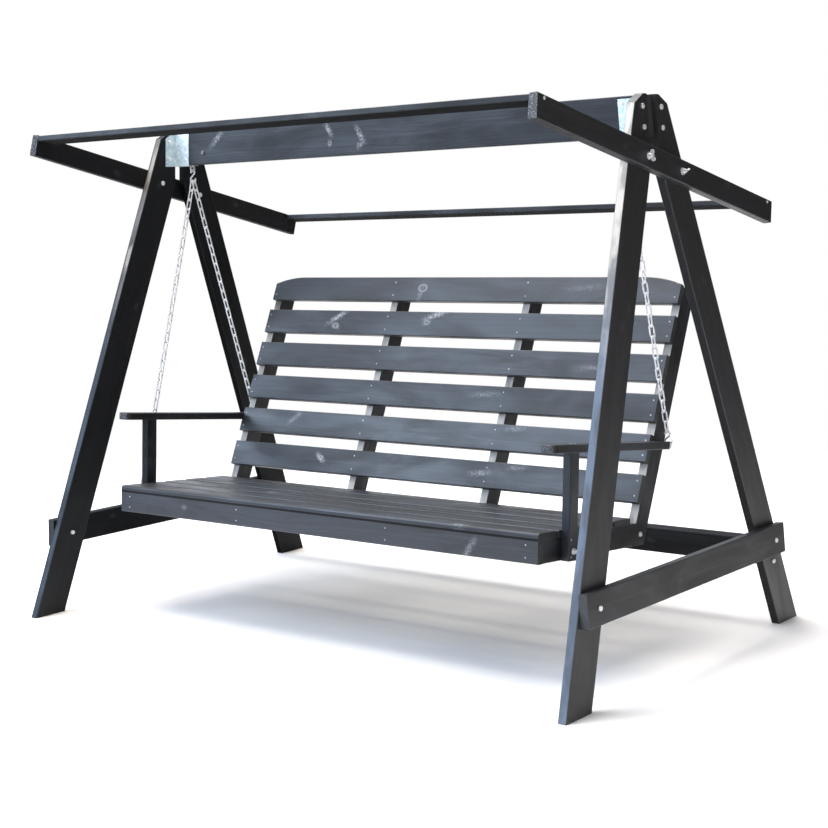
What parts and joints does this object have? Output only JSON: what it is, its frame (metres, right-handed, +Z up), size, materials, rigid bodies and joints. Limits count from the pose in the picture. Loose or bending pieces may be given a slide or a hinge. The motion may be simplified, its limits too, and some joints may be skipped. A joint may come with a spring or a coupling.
{
  "type": "swing bench",
  "caption": "Timber garden swing bench: a slatted seat with back and armrests hangs on chains from a beam between leaning A-frames, under an open sloping roof frame.",
  "frame": {"origin": "centre of the footprint at ground level", "axes": "+X along the ridge beam to the sitter's left, +Y to the rear, +Z up"},
  "size_m": [2.2474, 1.37, 1.67],
  "materials": {
    "stained_wood": "dark blue-grey stained softwood, semi-matt",
    "galvanised_sheet": "hot-dip galvanised, spangled",
    "zinc_steel": "bright zinc plated"
  },
  "bodies": {
    "stand": {"beam_bolts": "zinc_steel", "beam_eyes": "zinc_steel", "beam_hanger_left": "galvanised_sheet", "beam_hanger_right": "galvanised_sheet", "hanger_bolts": "zinc_steel", "leg_front_left": "stained_wood", "leg_front_right": "stained_wood", "leg_rear_left": "stained_wood", "leg_rear_right": "stained_wood", "rear_crossboard": "stained_wood", "ridge_beam": "stained_wood", "roof_arm_left": "stained_wood", "roof_arm_right": "stained_wood", "roof_bolts": "zinc_steel", "roof_rail_front": "stained_wood", "roof_rail_rear": "stained_wood", "roof_washers": "zinc_steel", "stretcher_bolts": "zinc_steel", "stretcher_left": "stained_wood", "stretcher_right": "stained_wood", "top_hooks": "zinc_steel"},
    "swing": {"arm_post_left": "stained_wood", "arm_post_right": "stained_wood", "armrest_left": "stained_wood", "armrest_right": "stained_wood", "back_post_1": "stained_wood", "back_post_2": "stained_wood", "back_post_3": "stained_wood", "back_post_4": "stained_wood", "back_post_bolts": "zinc_steel", "back_slat_1": "stained_wood", "back_slat_2": "stained_wood", "back_slat_3": "stained_wood", "back_slat_4": "stained_wood", "back_slat_5": "stained_wood", "back_slat_6": "stained_wood", "chain_front_left": "zinc_steel", "chain_front_right": "zinc_steel", "chain_rear_left": "zinc_steel", "chain_rear_right": "zinc_steel", "lower_hooks": "zinc_steel", "seat_bearer_1": "stained_wood", "seat_bearer_2": "stained_wood", "seat_bearer_3": "stained_wood", "seat_bearer_4": "stained_wood", "seat_eyes": "zinc_steel", "seat_front_rail": "stained_wood", "seat_side_rail_left": "stained_wood", "seat_side_rail_right": "stained_wood", "seat_slat_1": "stained_wood", "seat_slat_2": "stained_wood", "seat_slat_3": "stained_wood", "seat_slat_4": "stained_wood", "seat_slat_5": "stained_wood"},
    "wing_nut_front_left": {"wing_nut_front_left": "zinc_steel"},
    "wing_nut_front_right": {"wing_nut_front_right": "zinc_steel"},
    "wing_nut_rear_left": {"wing_nut_rear_left": "zinc_steel"},
    "wing_nut_rear_right": {"wing_nut_rear_right": "zinc_steel"}
  },
  "joints": [
    {"name": "seat_swing", "type": "hinge", "parent": "stand", "child": "swing", "pos_m": [0, 0, 1.4888], "axis": [1, 0, 0], "range_deg": [-20, 20]},
    {"name": "wing_nut_front_left_turn", "type": "hinge", "parent": "stand", "child": "wing_nut_front_left", "pos_m": [-1.0361, -0.08454, 1.49116], "axis": [-0.9976, 0, 0.0698], "continuous": true},
    {"name": "wing_nut_front_right_turn", "type": "hinge", "parent": "stand", "child": "wing_nut_front_right", "pos_m": [1.0361, -0.08454, 1.49116], "axis": [0.9976, 0, 0.0698], "continuous": true},
    {"name": "wing_nut_rear_left_turn", "type": "hinge", "parent": "stand", "child": "wing_nut_rear_left", "pos_m": [-1.03917, 0.1004, 1.44721], "axis": [-0.9976, 0, 0.0698], "continuous": true},
    {"name": "wing_nut_rear_right_turn", "type": "hinge", "parent": "stand", "child": "wing_nut_rear_right", "pos_m": [1.03917, 0.1004, 1.44721], "axis": [0.9976, 0, 0.0698], "continuous": true}
  ]
}
